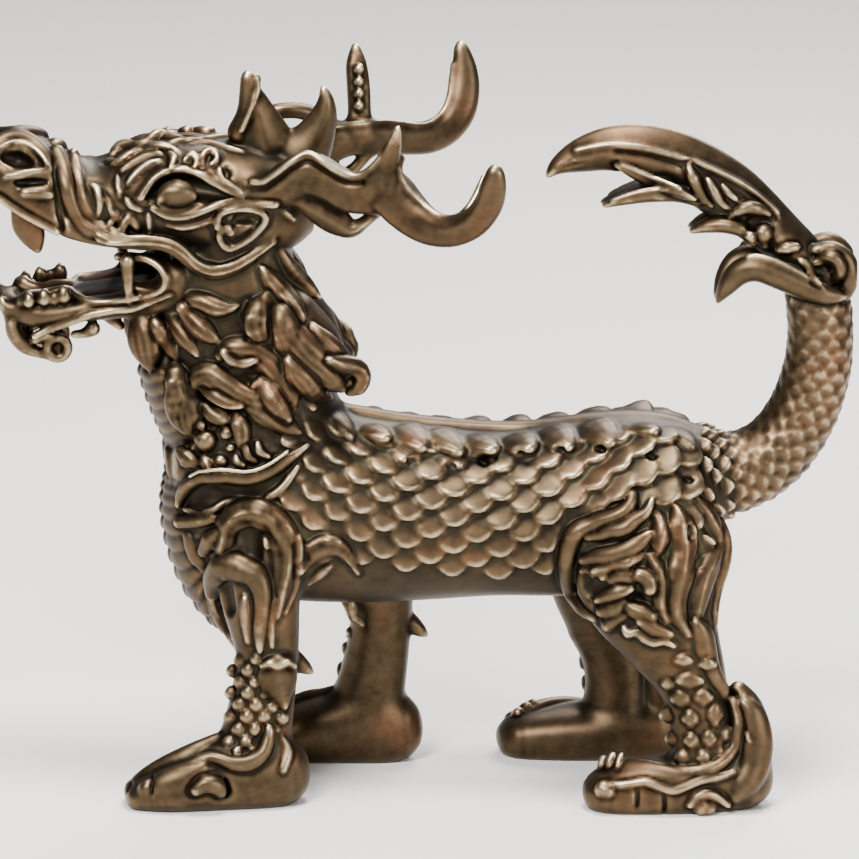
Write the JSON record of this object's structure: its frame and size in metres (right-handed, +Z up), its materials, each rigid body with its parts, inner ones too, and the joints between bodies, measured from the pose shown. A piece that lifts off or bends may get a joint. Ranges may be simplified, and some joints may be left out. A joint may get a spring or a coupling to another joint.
{
  "type": "tea pet figurine",
  "caption": "Cast brass dragon tea pet that stands on its paws, with open jaws, antlers, a curling mane, a scaled body and an upcurled tail ending in a long leaf.",
  "frame": {"origin": "on the ground plane, under the middle of the bounding box", "axes": "+Z up, the head faces -X and the tail +X, and +Y points to the side turned away in the picture"},
  "size_m": [0.1018, 0.0388, 0.0852],
  "materials": {
    "cast_brass": "dark brown patina in the hollows, rubbed bright on the high points"
  },
  "bodies": {
    "root": {"dragon": "cast_brass"}
  },
  "joints": []
}
